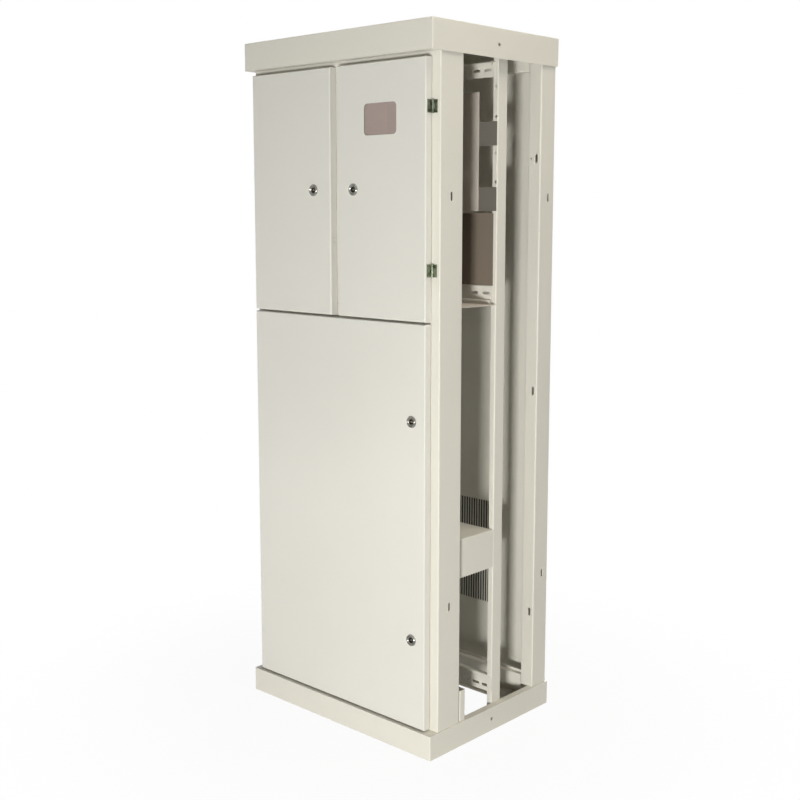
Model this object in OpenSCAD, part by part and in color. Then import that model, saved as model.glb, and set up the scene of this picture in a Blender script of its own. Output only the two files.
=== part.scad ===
// Floor-standing distribution board enclosure: folded steel frame, two upper doors, one lower door.
// Millimetres. Origin at the middle of the plinth's underside, +X right, -Y front, +Z up.

/* [Cabinet] */
// Overall height, floor to roof
cab_h = 1700; // [1500:5:2000]
// Width over roof and plinth
cab_w = 632; // [560:1:800]
// Depth over roof and plinth
cab_d = 466; // [430:1:600]
// Sheet thickness of frame, roof and plinth
sheet = 1.5; // [1.2:0.1:2]
// Inside radius of every fold in the frame
fold_r = 1.5; // [1:0.1:2.5]

/* [Roof and plinth] */
// Height of the roof skirt
cap_h = 68; // [50:1:90]
// Width of the lip under the front of the roof
cap_lip = 24; // [12:1:28]
// Height of the plinth
plinth_h = 60; // [50:1:120]
// Width of the plinth's top flange at sides and back
plinth_top = 18; // [15:0.5:24]
// Width of the plinth's top flange at the front
plinth_top_front = 53; // [45:1:70]
// Width of the plinth's bottom flange
plinth_foot = 30; // [28:1:45]
// Width of the plinth's bottom flange at the back
plinth_foot_rear = 70; // [45:1:90]
// Diameter of the anchor holes in the bottom flange
anchor_d = 10; // [8:0.5:12]
// Distance of the anchor holes from the plinth's outer faces
anchor_in = 17; // [15:1:18]
// Diameter of the joining holes in the sides of roof and plinth
join_d = 8.5; // [6:0.5:11]
// Height of the joining hole below the roof
join_drop = 37; // [25:1:42]

/* [Corner posts] */
// Gap from the roof's side to the posts' side faces
post_inset = 3.7; // [2.5:0.1:6]
// Gap from the roof's front to the posts' front faces
frame_set = 31.6; // [30:0.1:38]
// Gap from the roof's back to the posts' rear faces
rear_inset = 5.5; // [4.5:0.1:8]
// Width of the posts' front faces
post_face = 37.3; // [32:0.1:45]
// Width of the front posts' side faces
post_side = 78.7; // [60:0.1:95]
// Width of the rear posts' side faces
rear_post_side = 57.5; // [45:0.1:75]
// Width of the inner lips on the posts
post_lip = 12; // [8:0.5:13]
// Width of the rear posts' back flanges
rear_flange = 30; // [24:1:36]
// Width of the slots in the posts
post_slot_w = 7; // [5:0.5:9]
// Length of the slots in the posts
post_slot_l = 21; // [14:1:30]
// Height of the lower side slots
side_slot_z = 359; // [250:1:450]
// Distance between lower and upper side slots
side_slot_span = 957; // [700:1:1000]
// Height of the lowest slot in the rear posts' front faces
face_slot_z = 260.5; // [200:0.5:320]
// Pitch of the slots in the rear posts' front faces
face_slot_pitch = 575; // [400:1:600]
// Distance of those slots from the posts' side faces
face_slot_in = 12.3; // [10:0.1:16]
// Diameter of the small hole beside the top slot
pilot_d = 4; // [3:0.5:5]
// Distance of the small hole from the posts' side faces
pilot_in = 28; // [24:0.5:30]
// Distance of the rear posts' side slots from their front faces
rear_slot_in = 34; // [25:0.5:40]
// Height of the folded foot brackets behind the front posts
foot_h = 77; // [50:1:100]
// Width of the foot brackets
foot_w = 20; // [16:1:26]
// Gap between the posts' side faces and the foot brackets
foot_in = 1.5; // [1:0.5:7]
// Gap between the front posts' backs and the foot brackets
foot_back = 4; // [2:0.5:8]

/* [Front frame] */
// Height of the rail above the doors, below the roof's edge
lintel_drop = 47; // [35:1:70]
// Height of the rail between upper and lower doors
mid_rail_h = 58.5; // [45:0.5:80]
// Height of the sill on the plinth
sill_h = 35; // [25:1:60]
// Depth of the front rails and the mullion
rail_d = 20; // [16:0.5:24]
// Width of the mullion between the upper doors
mullion_w = 60; // [52:1:70]

/* [Doors] */
// Gap from the roof's front to the doors' front faces
door_set = 8.5; // [7:0.1:11]
// Gap from the doors' backs to the frame
door_gap = 1.5; // [1.3:0.1:3]
// Sheet thickness of the doors
door_sheet = 1.2; // [1:0.1:1.5]
// Outside radius of the doors' folds
door_r = 3; // [2:0.1:4]
// Width of the doors' inner lips
door_lip = 16; // [12:0.5:18]
// Strip of post that shows beside the doors, where they are in the middle
post_strip = 19.3; // [18.8:0.1:24]
// Sideways offset of the doors from the middle
door_shift = -4; // [-4:0.5:4]
// Gap between the two upper doors
door_split = 24; // [6:1:30]
// Gap under the roof's edge
door_top_gap = 12; // [4:0.5:16]
// Gap between upper and lower doors
door_mid_gap = 5; // [3:0.5:8]
// Gap above the plinth
door_low_gap = 3; // [2:0.5:8]
// Height of the upper doors
upper_h = 586.5; // [520:0.5:680]
// Width of the sealing strips on the doors' lips
seal_w = 10; // [6:0.5:11]
// Gap from the sealing strips to the frame
seal_gap = 0.3; // [0.3:0.1:0.6]
// Diameter of the two catch holes in the left upper door's free edge
catch_d = 3.2; // [2:0.1:4]
// Distance between the two catch holes
catch_span = 9.8; // [8:0.1:14]
// Height of the catch holes above the door's lower edge
catch_up = 179.5; // [100:0.5:250]

/* [Window] */
// Width of the window
win_w = 103; // [80:1:140]
// Height of the window
win_h = 72; // [50:1:100]
// Corner radius of the window
win_r = 10; // [4:0.5:16]
// Distance of the window's middle below the door's top
win_drop = 128; // [100:1:180]
// Overlap of the pane behind the door's sheet
pane_lap = 10; // [6:1:16]
// Thickness of the pane
pane_t = 3; // [2:0.5:5]
// Thickness of the pane's seal
pane_seal_t = 1; // [0.6:0.1:1.6]

/* [Hinges] */
// Height of a hinge
hinge_h = 29; // [24:1:40]
// Radius of the hinge knuckles
knuckle_r = 3.2; // [2.8:0.1:3.6]
// Gap from the knuckles to door and frame
knuckle_gap = 0.3; // [0.3:0.05:0.5]
// Radius of the hinge pins
hinge_pin_r = 1.5; // [1.2:0.1:1.8]
// Width of the hinge leaves
leaf_w = 11; // [8:0.5:11]
// Thickness of the hinge leaves
leaf_t = 1.5; // [1:0.1:1.5]
// Distance of the top hinges below the door's top
hinge_top_in = 107; // [70:1:150]
// Distance of the bottom hinges above the door's lower edge
hinge_low_in = 116.5; // [70:0.5:150]

/* [Locks] */
// Diameter of the lock's ring
lock_d = 28.5; // [26:0.5:32]
// Diameter of the lock's threaded body
lock_body_d = 22; // [20:0.5:22]
// Diameter of the turning plug
plug_d = 16; // [14:0.5:17]
// Length of the threaded body behind the door's face
lock_body_l = 14; // [12:0.5:16]
// Distance of the left upper lock from its door's free edge
lock_in_left = 59; // [52:0.5:62]
// Distance of the right upper lock from its door's free edge
lock_in_right = 53.5; // [48:0.5:60]
// Height of the upper locks above the doors' lower edge
lock_up = 299.5; // [200:0.5:400]
// Distance of the lower door's locks from its free edge
lock_in_low = 41; // [37:0.5:44]
// Distance of the lower door's top lock below its upper edge
lock_top_in = 226.5; // [150:0.5:300]
// Distance of the lower door's bottom lock above its lower edge
lock_low_in = 215; // [150:0.5:300]
// Reach of the cam from the lock's axis
cam_reach = 50; // [48:0.5:54]
// Width of the cam
cam_w = 16; // [14:0.5:18]
// Thickness of the cam
cam_t = 2.5; // [2:0.1:3]
// Gap between the frame's sheet and the turned cam
cam_gap = 0.5; // [0.4:0.1:1.5]
// How far the lock's ring stands out of the door
ring_out = 3.2; // [2.5:0.1:4]
// Depth of the dish inside the ring
dish_deep = 2; // [1:0.1:2.2]
// Depth of the key well in the plug
well_deep = 7.6; // [5:0.1:9]
// Radius of the key pin in the well
key_pin_r = 2.4; // [1.5:0.1:2.6]
// Width over the key pin's two wings
key_wing_w = 8.8; // [6:0.1:9]
// Thickness of the lock's nut
nut_t = 5; // [3:0.5:6]
// Diameter of the cam's screw
cam_screw_d = 5; // [4:0.5:5]

/* [Interior] */
// Place of the uprights' front faces behind the cabinet's middle
upright_y = 19.4; // [5:0.1:40]
// Width of the uprights' side faces
upright_side = 36.1; // [25:0.1:50]
// Width of the uprights' front faces
upright_face = 14; // [12:0.5:18]
// Diameter of the holes in the uprights
upright_hole_d = 7; // [4:0.5:7]
// Distance of the holes from the uprights' side faces
upright_hole_in = 5; // [5:0.5:7]
// Gap between the crossbars' ends and the uprights' side faces
bar_gap = 10; // [2:0.5:11]
// Height of the slotted crossbars
bar_h = 34; // [28:1:45]
// Height of the bottom crossbar
low_bar_h = 42; // [30:0.5:60]
// Pitch of the slots in the bottom crossbar
low_slot_pitch = 31; // [28:0.1:60]
// Height of those slots above the bottom crossbar's lower edge
low_slot_up = 14.5; // [8:0.5:20]
// Depth of the crossbars' lips
bar_lip_d = 12; // [8:0.5:16]
// Height of the crossbars' lips
bar_lip_h = 9; // [6:0.5:11]
// Length of the slots in the crossbars
bar_slot_l = 22; // [12:1:24]
// Width of the slots in the crossbars
bar_slot_w = 7; // [4:0.5:8]
// Pitch of the slots in the crossbars
bar_slot_pitch = 35.8; // [28:0.1:60]
// Height of the bottom crossbar above the plinth
low_bar_up = 28.5; // [10:0.5:80]
// Gap between the roof's edge and the top crossbar
top_bar_gap = 4; // [2:0.5:20]
// Gap between the upper mounting plate and the uprights' side faces
plate_side_gap = 55; // [40:1:90]
// Gap between the upper mounting plate and the top crossbar
plate_top_gap = 32; // [10:1:50]
// Gap between the two mounting plates
plate_mid_gap = 5; // [2:0.5:20]
// Gap between the lower mounting plate and the uprights' side faces
low_plate_gap = 10; // [2:0.5:11]
// Gap between the lower mounting plate and the crossbar under it
low_plate_up = 1.5; // [0.5:0.5:10]
// Height of the lower mounting plate
low_plate_h = 172; // [120:1:190]
// Width of the bent top edge of the lower mounting plate
low_plate_lip = 10; // [6:0.5:14]
// Overlap of the straps behind the upper mounting plate
strap_lap = 14; // [8:1:30]
// Height of the straps that carry the upper mounting plate
strap_h = 56; // [30:1:60]
// Distance between the straps' lower edges
strap_span = 153; // [100:1:200]
// Height of the equipment tray's top
tray_z = 508; // [420:1:620]
// Depth of the equipment tray's sides
tray_h = 95; // [60:1:110]
// Gap between the front rails and the equipment tray
tray_gap = 5.7; // [3:0.1:60]
// Gap between the upper compartment's divider and the mounting plates
divider_gap = 51; // [45:1:100]
// Width of the lip along the divider's rear edge
divider_lip = 10; // [6:0.5:14]

/* [Rear panel] */
// Overlap of the rear panel inside the roof's skirt
panel_lap = 20; // [5:1:35]
// Gap between the rear panel and the plinth
panel_low_gap = 3; // [1:0.5:10]
// Gap between the rear panel's edge and the posts' side faces
panel_edge = 3.3; // [1:0.1:8]
// Half width of the vent fields
vent_half = 151; // [80:1:180]
// Lower edge of the vents
vent_z = 230; // [150:1:300]
// Height of each vent field
vent_h = 130; // [80:1:150]
// Plain band between the two vent fields
vent_band = 21; // [12:1:40]
// Pitch of the vent slots
vent_pitch = 8.4; // [7:0.1:12]
// Width of each vent slot
vent_slot = 5.8; // [3:0.1:6.2]
// Overlap of the insect screen round the vents
screen_lap = 8; // [4:0.5:14]
// Thickness of the insect screen
screen_t = 0.8; // [0.5:0.1:1]
// Number of screws up each side of the rear panel
panel_screws = 5; // [3:1:8]
// Distance of the end screws from the roof's edge and the panel's bottom
screw_end_in = 40; // [15:1:80]
// Diameter of the panel screws
screw_d = 5; // [4:0.5:6]
// Height of the rear bottom rail's top above the plinth
rear_rail_h = 24; // [16:1:40]
// Depth of the rear rails
rear_rail_d = 14; // [10:0.5:30]
// Height of the rear rails' front faces
rear_rail_face = 35; // [20:1:50]
// Height of the lip along the back of the rear bottom rail
rear_rail_lip = 8; // [5:0.5:16]
// Distance of the rear top rail's lower edge below the roof's edge
top_rail_drop = 13; // [6:0.5:25]

/* [Hidden] */
$fn = 48;
// Overrun that carries a cut clear of both faces
over = 1;
// Radial clearance of a turning fit, and of a fixed fit
run_fit = 0.05;
still_fit = 0.02;
// Radial clearance of a screw in its through hole
bolt_fit = 0.2;
// Clearance between sheets that only pass each other
pass_fit = 0.4;

// Frame lines
half_w = cab_w / 2;
front_y = -cab_d / 2;
back_y = cab_d / 2;
cap_z = cab_h - cap_h;
roof_under = cab_h - sheet;
post_x = half_w - post_inset;
post_in_x = post_x - post_face;
frame_y = front_y + frame_set;
post_back_y = frame_y + post_side;
rear_y = back_y - rear_inset;
rear_post_y = rear_y - rear_post_side;
upright_x = half_w - plinth_top;
upright_back_y = upright_y + upright_side;

// Door lines
door_y = front_y + door_set;
door_back_y = frame_y - door_gap;
door_left = door_shift - (post_x - post_strip);
door_right = door_shift + (post_x - post_strip);
split_left = door_shift - door_split / 2;
split_right = door_shift + door_split / 2;
upper_top = cap_z - door_top_gap;
upper_low = upper_top - upper_h;
lower_top = upper_low - door_mid_gap;
lower_low = plinth_h + door_low_gap;
hinge_stand = knuckle_r + knuckle_gap;
hinge_y = frame_y - hinge_stand;
hinge_left = door_left - hinge_stand;
hinge_right = door_right + hinge_stand;
win_x = (split_right + door_right) / 2;
win_z = upper_top - win_drop;

// Front frame lines
lintel_z = cap_z - lintel_drop;
mid_rail_z = (upper_low + lower_top) / 2 - mid_rail_h / 2;
shelf_z = mid_rail_z + mid_rail_h + sheet;

// Interior lines
low_plate_z = shelf_z + bar_h + bar_lip_h + low_plate_up;
plate_z = low_plate_z + low_plate_h + plate_mid_gap;
top_bar_z = cap_z - top_bar_gap - bar_h;
plate_top = top_bar_z - plate_top_gap;
low_bar_z = plinth_h + low_bar_up;
bar_half = upright_x - bar_gap;
plate_half = upright_x - plate_side_gap;
strap_in = plate_half - strap_lap;
strap_end = upright_x - sheet;
tray_y = frame_y + rail_d + tray_gap;
divider_y = upright_y - 2 * sheet - divider_gap;
// Fixing holes in the uprights, from the upper mounting plate's lower edge up
upright_holes = [68, 135, 220, 289];

// Rear panel lines
panel_half = post_x - panel_edge;
panel_z = plinth_h + panel_low_gap;
panel_top = cap_z + panel_lap;
vent_count = floor(2 * vent_half / vent_pitch);
vent_w = vent_count * vent_pitch;
screw_x = post_x - rear_flange / 2;

// Lock lines
cam_front_y = frame_y + sheet + cam_gap;
cam_depth = cam_front_y - door_y;
plug_r = plug_d / 2;
lock_left_x = split_left - lock_in_left;
lock_right_x = split_right + lock_in_right;
lock_low_x = door_right - lock_in_low;
lock_upper_z = upper_low + lock_up;
lock_low_top_z = lower_top - lock_top_in;
lock_low_bottom_z = lower_low + lock_low_in;
shank_w = plug_d / 2;
strike_rise = cam_w / 2 + 2;
strike_drop = cam_reach - 4;

// Paint and metal colours
paint = [0.83, 0.82, 0.78];
paint_inside = [0.78, 0.76, 0.72];
zinc = [0.62, 0.64, 0.60];
chrome = [0.72, 0.72, 0.72];
dark_metal = [0.25, 0.25, 0.26];
black_rubber = [0.10, 0.10, 0.11];
dark_mesh = [0.16, 0.15, 0.14];
clear_pane = [0.75, 0.78, 0.78, 0.4];

// Extrusions along each axis, from a first to a second coordinate
module along_z(z0, z1) {
    translate([0, 0, z0]) linear_extrude(z1 - z0) children();
}

// The flat shape's x runs along Y and its y along Z
module along_x(x0, x1) {
    translate([x0, 0, 0]) rotate([90, 0, 90]) linear_extrude(x1 - x0) children();
}

// The flat shape's x runs along X and its y along Z
module along_y(y0, y1) {
    translate([0, y1, 0]) rotate([90, 0, 0]) linear_extrude(y1 - y0) children();
}

module rect(x0, y0, x1, y1) {
    translate([x0, y0]) square([x1 - x0, y1 - y0]);
}

module round_rect(x0, y0, x1, y1, r) {
    rect(x0 + r, y0, x1 - r, y1);
    rect(x0, y0 + r, x1, y1 - r);
    for (x = [x0 + r, x1 - r], y = [y0 + r, y1 - r]) translate([x, y]) circle(r);
}

module box(x0, y0, z0, x1, y1, z1) {
    translate([x0, y0, z0]) cube([x1 - x0, y1 - y0, z1 - z0]);
}

// Slot with round ends, centred, running along the flat shape's y
module slot_flat(w, l) {
    translate([-w / 2, -(l - w) / 2]) square([w, l - w]);
    for (s = [-1, 1]) translate([0, s * (l - w) / 2]) circle(w / 2);
}

// Folded sheet seen end on: straight runs along the middle line, each corner bent through a right angle
module fold_flat(line, t = sheet, r = fold_r) {
    m = r + t / 2;
    last = len(line) - 1;
    for (i = [0 : last - 1]) {
        way = (line[i + 1] - line[i]) / norm(line[i + 1] - line[i]);
        start = i == 0 ? 0 : m;
        stop = i == last - 1 ? 0 : m;
        translate(line[i] + way * start)
            rotate(atan2(way[1], way[0]))
                translate([0, -t / 2])
                    square([norm(line[i + 1] - line[i]) - start - stop, t]);
    }
    for (i = [1 : last - 1]) {
        before = (line[i] - line[i - 1]) / norm(line[i] - line[i - 1]);
        after = (line[i + 1] - line[i]) / norm(line[i + 1] - line[i]);
        reach = m + t;
        translate(line[i] - before * m + after * m) intersection() {
            difference() {
                circle(r + t);
                circle(r);
            }
            polygon([[0, 0], before * reach, (before - after) * reach, -after * reach]);
        }
    }
}

module on_left() {
    mirror([1, 0, 0]) children();
}

// Roof: a folded pan, open below, with a lip under its front overhang
module roof_cap() {
    r = fold_r + sheet;
    color(paint) difference() {
        folded_cap(half_w, front_y, back_y, cab_h, r);
        difference() {
            folded_cap(half_w - sheet, front_y + sheet, back_y - sheet, cab_h - sheet, fold_r);
            box(-half_w, front_y, cap_z, half_w, front_y + cap_lip, cap_z + sheet);
        }
        along_x(-half_w - over, half_w + over) translate([0, cab_h - join_drop]) circle(d = join_d);
    }
}

module folded_cap(x, y0, y1, z1, r) {
    intersection() {
        along_z(cap_z, z1) round_rect(-x, y0, x, y1, r);
        along_x(-x, x) round_rect(y0, cap_z - 2 * r, y1, z1, r);
        along_y(y0, y1) round_rect(-x, cap_z - 2 * r, x, z1, r);
    }
}

// Plinth: a welded frame of folded channel, open in the middle for the cables
module plinth() {
    r = fold_r + sheet;
    color(paint) difference() {
        along_z(0, plinth_h) round_rect(-half_w, front_y, half_w, back_y, r);
        along_z(sheet, plinth_h - sheet)
            round_rect(-half_w + sheet, front_y + sheet, half_w - sheet, back_y - sheet, fold_r);
        box(-upright_x, front_y + plinth_top_front, sheet, upright_x, back_y - plinth_top, plinth_h + over);
        along_z(-over, plinth_h / 2)
            rect(-half_w + plinth_foot, front_y + plinth_foot,
                half_w - plinth_foot, back_y - plinth_foot_rear);
        along_x(-half_w - over, half_w + over) translate([0, plinth_h / 2]) circle(d = join_d);
        for (x = [-1, 1], y = [-1, 1])
            translate([x * (half_w - anchor_in), y * (back_y - anchor_in), -over])
                cylinder(d = anchor_d, h = sheet + 2 * over);
    }
}

// Front post: a front face, a wide side face and a short lip behind it
module front_post() {
    h = sheet / 2;
    color(paint) difference() {
        along_z(plinth_h, roof_under)
            fold_flat([
                [post_in_x, frame_y + h],
                [post_x - h, frame_y + h],
                [post_x - h, post_back_y - h],
                [post_x - post_lip, post_back_y - h]
            ]);
        side_slots(frame_y + post_side / 2);
    }
}

// Rear post: a channel whose front face is slotted and whose back flange carries the rear panel
module rear_post() {
    h = sheet / 2;
    color(paint) difference() {
        along_z(plinth_h, roof_under)
            fold_flat([
                [post_in_x + h, rear_post_y + post_lip],
                [post_in_x + h, rear_post_y + h],
                [post_x - h, rear_post_y + h],
                [post_x - h, rear_y - h],
                [post_x - rear_flange, rear_y - h]
            ]);
        side_slots(rear_post_y + rear_slot_in);
        along_y(rear_post_y - over, rear_post_y + sheet + over)
            for (i = [0 : 2])
                translate([post_x - face_slot_in, face_slot_z + i * face_slot_pitch])
                    slot_flat(post_slot_w, post_slot_l);
        along_y(rear_post_y - over, rear_post_y + sheet + over)
            translate([post_x - pilot_in, face_slot_z + 2 * face_slot_pitch]) circle(d = pilot_d);
        panel_screw_holes();
    }
}

module side_slots(y) {
    along_x(post_x - sheet - over, post_x + over)
        for (z = [side_slot_z, side_slot_z + side_slot_span])
            translate([y, z]) slot_flat(post_slot_w, post_slot_l);
}

module left_front_post() on_left() front_post();
module right_front_post() front_post();
module left_rear_post() on_left() rear_post();
module right_rear_post() rear_post();

// Upright: a channel just inside the plinth's top flange, standing on its bottom flange
module upright() {
    h = sheet / 2;
    in_x = upright_x - upright_face;
    color(paint) difference() {
        along_z(sheet, roof_under)
            fold_flat([
                [in_x, upright_y + h],
                [upright_x - h, upright_y + h],
                [upright_x - h, upright_back_y - h],
                [in_x, upright_back_y - h]
            ]);
        along_y(upright_y - over, upright_y + sheet + over)
            for (up = upright_holes)
                translate([upright_x - upright_hole_in, plate_z + up]) circle(d = upright_hole_d);
    }
}

module left_upright() on_left() upright();
module right_upright() upright();

// Front rail of channel section, its open side to the back
module front_rail(z0, z1) {
    h = sheet / 2;
    along_x(-post_in_x, post_in_x)
        fold_flat([
            [frame_y + rail_d, z0 + h],
            [frame_y + h, z0 + h],
            [frame_y + h, z1 - h],
            [frame_y + rail_d, z1 - h]
        ]);
}

module front_lintel() color(paint) front_rail(lintel_z, roof_under);
module front_mid_rail() color(paint) front_rail(mid_rail_z, mid_rail_z + mid_rail_h);
module front_sill() color(paint) front_rail(plinth_h, plinth_h + sill_h);

// Mullion: a channel between shelf and lintel, with a strike slot in each side for the lock's cam
module mullion() {
    h = sheet / 2;
    half = mullion_w / 2;
    color(paint) difference() {
        along_z(shelf_z, lintel_z)
            fold_flat([
                [door_shift - half + h, frame_y + rail_d],
                [door_shift - half + h, frame_y + h],
                [door_shift + half - h, frame_y + h],
                [door_shift + half - h, frame_y + rail_d]
            ]);
        for (s = [-1, 1])
            translate([door_shift + s * (half - sheet / 2), 0, 0])
                box(-sheet, cam_front_y - over, lock_upper_z - strike_drop,
                    sheet, cam_front_y + cam_t + over, lock_upper_z + strike_rise);
    }
}

// Rear bottom rail: a front face between the rear posts, a top flange and a lip up its back
module rear_bottom_rail() {
    h = sheet / 2;
    front = rear_post_y + h;
    back = rear_post_y + rear_rail_d - h;
    top = plinth_h + rear_rail_h - h;
    color(paint) along_x(-post_in_x, post_in_x)
        fold_flat([[front, top - rear_rail_face], [front, top], [back, top], [back, top + rear_rail_lip]]);
}

// Rear top rail: an angle between the rear posts, its flange below
module rear_top_rail() {
    h = sheet / 2;
    front = rear_post_y + h;
    low = cap_z - top_rail_drop + h;
    color(paint) along_x(-post_in_x, post_in_x)
        fold_flat([[front, low + rear_rail_face], [front, low], [rear_post_y + rear_rail_d, low]]);
}

// Folded U bracket at the foot of a front post
module foot_bracket() {
    h = sheet / 2;
    out_x = post_x - foot_in;
    front = post_back_y + foot_back;
    along_z(plinth_h, plinth_h + foot_h)
        fold_flat([
            [out_x - foot_w, front + h],
            [out_x - h, front + h],
            [out_x - h, front + foot_w - h],
            [out_x - foot_w, front + foot_w - h]
        ]);
}

module post_foot_brackets() color(paint) {
    foot_bracket();
    on_left() foot_bracket();
}

// Rear panel: a flat sheet with two fields of vertical vent slots
module rear_panel() {
    color(paint) difference() {
        box(-panel_half, rear_y, panel_z, panel_half, rear_y + sheet, panel_top);
        along_y(rear_y - over, rear_y + sheet + over)
            for (z = vent_rows(), i = [0 : vent_count - 1])
                translate([(i + 0.5) * vent_pitch - vent_w / 2, 0])
                    rect(-vent_slot / 2, z, vent_slot / 2, z + vent_h);
        panel_screw_holes();
        on_left() panel_screw_holes();
    }
}

function vent_rows() = [vent_z, vent_z + vent_h + vent_band];

// Insect screen on the rear panel's back, over both vent fields
module vent_screen() {
    half = vent_w / 2 + screen_lap;
    top = vent_rows()[1] + vent_h + screen_lap;
    color(dark_mesh)
        box(-half, rear_y + sheet, vent_z - screen_lap, half, rear_y + sheet + screen_t, top);
}

function screw_rows() = [for (i = [0 : panel_screws - 1])
    panel_z + screw_end_in + i * (cap_z - panel_z - 2 * screw_end_in) / (panel_screws - 1)];

module panel_screw_holes() {
    along_y(rear_y - sheet - over, rear_y + sheet + over)
        for (z = screw_rows()) translate([screw_x, z]) circle(d = screw_d + 2 * bolt_fit);
}

// Pan-head screw, its head bearing on the plane z = 0
module pan_screw(d, length) {
    rotate_extrude() polygon([
        [0, -length], [d / 2, -length], [d / 2, 0], [d * 0.95, 0],
        [d * 0.95, d * 0.2], [d * 0.75, d * 0.42], [d * 0.2, d * 0.5], [0, d * 0.5]
    ]);
}

module rear_panel_screws() {
    color(zinc) for (s = [-1, 1], z = screw_rows())
        translate([s * screw_x, rear_y + sheet, z]) rotate([-90, 0, 0]) pan_screw(screw_d, 2 * screw_d);
}

// Shelf between the two compartments, from the mid rail back to the uprights
module compartment_shelf() {
    color(paint_inside)
        box(-upright_x, frame_y + sheet + pass_fit, shelf_z - sheet, upright_x, upright_y, shelf_z);
}

// Upright sheet behind the mullion that parts the upper compartment, with a lip along its rear edge
module compartment_divider() {
    h = sheet / 2;
    color(paint_inside) along_z(shelf_z, lintel_z)
        fold_flat([
            [door_shift, frame_y + sheet],
            [door_shift, divider_y - h],
            [door_shift - divider_lip, divider_y - h]
        ]);
}

// Flat plate in front of its straps
module upper_mounting_plate() {
    color(paint_inside)
        box(-plate_half, upright_y - 2 * sheet, plate_z, plate_half, upright_y - sheet, plate_top);
}

module plate_straps() {
    half = (strap_end - strap_in) / 2;
    color(paint_inside) for (s = [-1, 1], z = [plate_z, plate_z + strap_span])
        translate([s * (strap_in + strap_end) / 2, 0, 0])
            box(-half, upright_y - sheet, z, half, upright_y, z + strap_h);
}

// Lower plate, its top edge bent forward
module lower_mounting_plate() {
    h = sheet / 2;
    half = upright_x - low_plate_gap;
    top = low_plate_z + low_plate_h - h;
    color(paint_inside) along_x(-half, half)
        fold_flat([[upright_y - h, low_plate_z], [upright_y - h, top], [upright_y - low_plate_lip, top]]);
}

// Equipment tray: a shelf with deep sides folded down, fixed to the uprights' front faces
module equipment_tray() {
    r = fold_r + sheet;
    color(paint) difference() {
        intersection() {
            along_x(-upright_x, upright_x) round_rect(tray_y, tray_z - tray_h - 2 * r, upright_y, tray_z, r);
            along_y(tray_y, upright_y) round_rect(-upright_x, tray_z - tray_h - 2 * r, upright_x, tray_z, r);
            box(-upright_x, tray_y, tray_z - tray_h, upright_x, upright_y, tray_z);
        }
        box(-upright_x + sheet, tray_y + sheet, tray_z - tray_h - over,
            upright_x - sheet, upright_y - sheet, tray_z - sheet);
    }
}

// Slotted crossbar in front of the uprights, with a lip turned forward and back along itself
module crossbar(z, lip_below) {
    h = sheet / 2;
    edge = lip_below ? z + bar_lip_h : z + bar_h - h;
    tip = lip_below ? z : z + bar_h - bar_lip_h;
    far = lip_below ? z + bar_h + bar_lip_h : z;
    y = upright_y - h;
    difference() {
        along_x(-bar_half, bar_half)
            fold_flat([[y, far], [y, edge], [y - bar_lip_d, edge], [y - bar_lip_d, tip]]);
        bar_slots((far + edge) / 2, bar_half, bar_slot_pitch, 0.5);
    }
}

// Row of slots through a crossbar at height z, at a pitch, the same on both sides of the middle
module bar_slots(z, half, pitch, start) {
    count = floor((half - bar_slot_l / 2 - bar_slot_w) / pitch - start);
    along_y(upright_y - sheet - over, upright_y + over)
        for (s = [-1, 1], i = [0 : count])
            translate([s * (i + start) * pitch, z]) rotate(90) slot_flat(bar_slot_w, bar_slot_l);
}

module top_crossbar() color(paint) crossbar(top_bar_z, false);
module mid_crossbar() color(paint) crossbar(shelf_z, true);

// Bottom crossbar: a taller flat face over the uprights, its top lip turned back between them
module bottom_crossbar() {
    h = sheet / 2;
    top = low_bar_z + low_bar_h - h;
    y = upright_y - h;
    lip_half = upright_x - upright_face - pass_fit;
    color(paint) difference() {
        union() {
            along_x(-lip_half, lip_half) fold_flat([[y, low_bar_z], [y, top], [y + bar_lip_d, top]]);
            along_x(-upright_x, upright_x) rect(y - h, low_bar_z, y + h, top - fold_r - h);
        }
        bar_slots(low_bar_z + low_slot_up, upright_x, low_slot_pitch, 0);
    }
}

// Door: a pan folded from one sheet, its sides turned back and in to a lip
module door_pan(x0, x1, z0, z1) {
    t = door_sheet;
    difference() {
        folded_door(x0, x1, z0, z1, door_y, door_back_y, door_r);
        folded_door(x0 + t, x1 - t, z0 + t, z1 - t, door_y + t, door_back_y - t, door_r - t);
        box(x0 + door_lip, door_back_y - t - over, z0 + door_lip,
            x1 - door_lip, door_back_y + over, z1 - door_lip);
    }
}

module folded_door(x0, x1, z0, z1, y0, y1, r) {
    intersection() {
        along_z(z0, z1) round_rect(x0, y0, x1, y1, r);
        along_x(x0, x1) round_rect(y0, z0, y1, z1, r);
    }
}

module lock_hole(x, z) {
    along_y(door_y - over, door_y + door_sheet + over)
        translate([x, z]) circle(d = lock_body_d + 2 * still_fit);
}

module window_outline(grow) {
    round_rect(win_x - win_w / 2 - grow, win_z - win_h / 2 - grow,
        win_x + win_w / 2 + grow, win_z + win_h / 2 + grow, win_r);
}

module top_left_door() color(paint) difference() {
    door_pan(door_left, split_left, upper_low, upper_top);
    lock_hole(lock_left_x, lock_upper_z);
    along_x(split_left - door_sheet - over, split_left + over)
        for (s = [-1, 1])
            translate([(door_y + door_back_y) / 2, upper_low + catch_up + s * catch_span / 2])
                circle(d = catch_d);
}

module top_right_door() color(paint) difference() {
    door_pan(split_right, door_right, upper_low, upper_top);
    lock_hole(lock_right_x, lock_upper_z);
    along_y(door_y - over, door_y + door_sheet + over) window_outline(0);
}

module bottom_door() color(paint) difference() {
    door_pan(door_left, door_right, lower_low, lower_top);
    lock_hole(lock_low_x, lock_low_top_z);
    lock_hole(lock_low_x, lock_low_bottom_z);
}

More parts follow.
